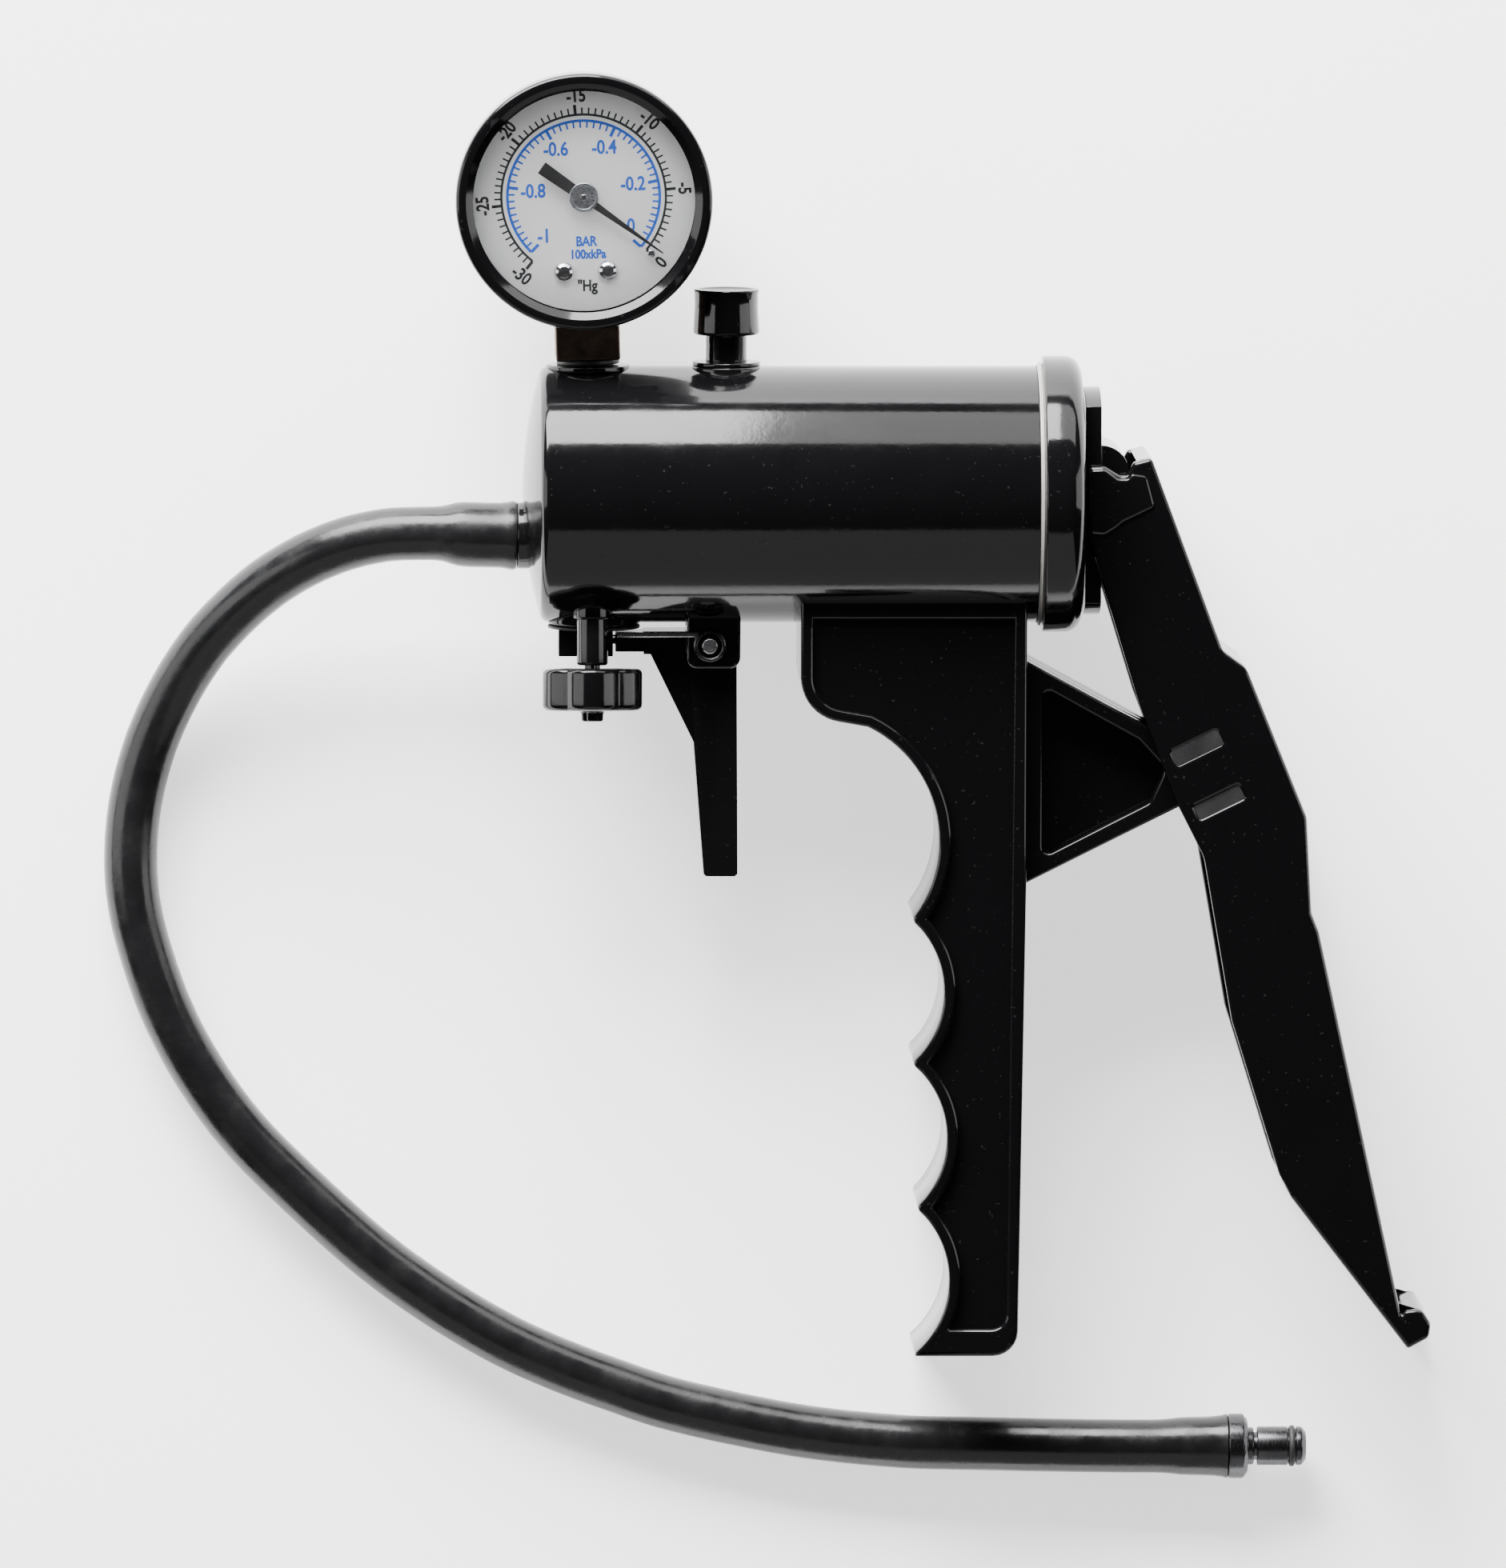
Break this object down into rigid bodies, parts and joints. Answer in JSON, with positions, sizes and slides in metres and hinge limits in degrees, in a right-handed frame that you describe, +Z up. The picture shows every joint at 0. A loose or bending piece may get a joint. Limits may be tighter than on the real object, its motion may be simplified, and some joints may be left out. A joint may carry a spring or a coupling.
{
  "type": "hand vacuum pump",
  "caption": "Pistol-grip hand vacuum pump with a squeeze handle, a dial gauge, a vent button, a trigger-operated release valve, a star bleed knob and a short hose with a plug.",
  "frame": {"origin": "centre of the base of the pump's own box, lying on its side on a flat surface; the hose is left out of the box", "axes": "+Z up from the surface through the side that the gauge faces, +Y from the grip's foot to the gauge, +X from the hose end to the squeeze handle"},
  "size_m": [0.2072, 0.221, 0.0432],
  "materials": {
    "gloss_black": "gloss",
    "gasket": "translucent",
    "steel": "satin",
    "spring_steel": "drawn wire",
    "chrome": "polished",
    "bronze": "aged",
    "brass": "machined",
    "dial_face": "fine matt",
    "lens": "clear",
    "pointer_black": "satin",
    "seal_rubber": "matt",
    "hose_rubber": "gloss",
    "dark_metal": "black plated",
    "piston_plastic": "moulded"
  },
  "bodies": {
    "housing": {"barrel": "gloss_black", "cap_gasket": "gasket", "rear_cap": "gloss_black", "cap_screws": "steel", "rod_bushing": "brass", "grip_frame": "gloss_black", "saddle_screws": "steel", "return_spring": "spring_steel", "intake_valve": "seal_rubber", "gauge_case": "gloss_black", "gauge_bezel": "gloss_black", "gauge_lens": "lens", "gauge_dial": "dial_face", "dial_screws": "chrome", "stop_pin": "chrome", "gauge_stem": "bronze", "stem_seal": "seal_rubber", "bourdon_tube": "brass", "gauge_movement": "brass", "vent_seat": "gloss_black", "vent_spring": "spring_steel", "valve_gasket": "seal_rubber", "valve_body": "gloss_black", "bleed_tower": "gloss_black", "trigger_pin": "steel", "hose_spigot": "gloss_black", "hose": "hose_rubber", "plug_nut": "dark_metal", "plug_body": "dark_metal", "plug_seal": "seal_rubber"},
    "handle": {"handle": "gloss_black"},
    "piston": {"crosshead": "gloss_black", "crosshead_pin": "steel", "piston_rod": "steel", "piston": "piston_plastic", "piston_seal": "seal_rubber", "piston_nut": "steel"},
    "pointer": {"pointer": "pointer_black"},
    "sector": {"sector_gear": "brass"},
    "vent": {"vent_button": "gloss_black", "vent_seal": "seal_rubber"},
    "plunger": {"valve_plunger": "steel"},
    "knob": {"star_knob": "gloss_black"},
    "trigger": {"trigger": "gloss_black", "trigger_spring": "spring_steel"}
  },
  "joints": [
    {"name": "handle_squeeze", "type": "hinge", "parent": "housing", "child": "handle", "pos_m": [0.04125, -0.00871, 0.01851], "axis": [0, 0.0715, -0.9974], "range_deg": [0, 30], "stiffness_Nm_per_rad": 2, "springref_deg": -17.19},
    {"name": "piston_slide", "type": "slide", "parent": "housing", "child": "piston", "axis": [1, 0, 0], "range_m": [0, 0.0231], "deforming": ["return_spring"]},
    {"name": "trigger_pull", "type": "hinge", "parent": "housing", "child": "trigger", "pos_m": [-0.03625, 0.01144, 0.01996], "axis": [0, -0.0715, 0.9974], "range_deg": [0, 8], "stiffness_Nm_per_rad": 0.05, "springref_deg": -11.46},
    {"name": "plunger_slide", "type": "slide", "parent": "housing", "child": "plunger", "axis": [0, -0.9974, -0.0715], "range_m": [0, 0.0027]},
    {"name": "knob_turn", "type": "hinge", "parent": "housing", "child": "knob", "pos_m": [-0.05455, 0.01495, 0.02823], "axis": [0, 0.9999, -0.0157], "range_deg": [0, 540]},
    {"name": "vent_press", "type": "slide", "parent": "housing", "child": "vent", "axis": [0, -0.9974, -0.0715], "range_m": [0, 0.0012], "stiffness_N_per_m": 400, "springref_m": -0.001, "deforming": ["vent_spring"]},
    {"name": "pointer_swing", "type": "hinge", "parent": "housing", "child": "pointer", "pos_m": [-0.05595, 0.08124, 0.02496], "axis": [0, -0.0715, 0.9974], "range_deg": [0, 267]},
    {"name": "sector_swing", "type": "hinge", "parent": "housing", "child": "sector", "pos_m": [-0.05573, 0.07427, 0.02446], "axis": [0, -0.0715, 0.9974], "range_deg": [-56, 0]}
  ],
  "couplings": [
    {"joint": "piston_slide", "follows": "handle_squeeze", "m_per_rad": 0.044},
    {"joint": "plunger_slide", "follows": "trigger_pull", "m_per_rad": 0.0193},
    {"joint": "sector_swing", "follows": "pointer_swing", "ratio": -0.207}
  ]
}
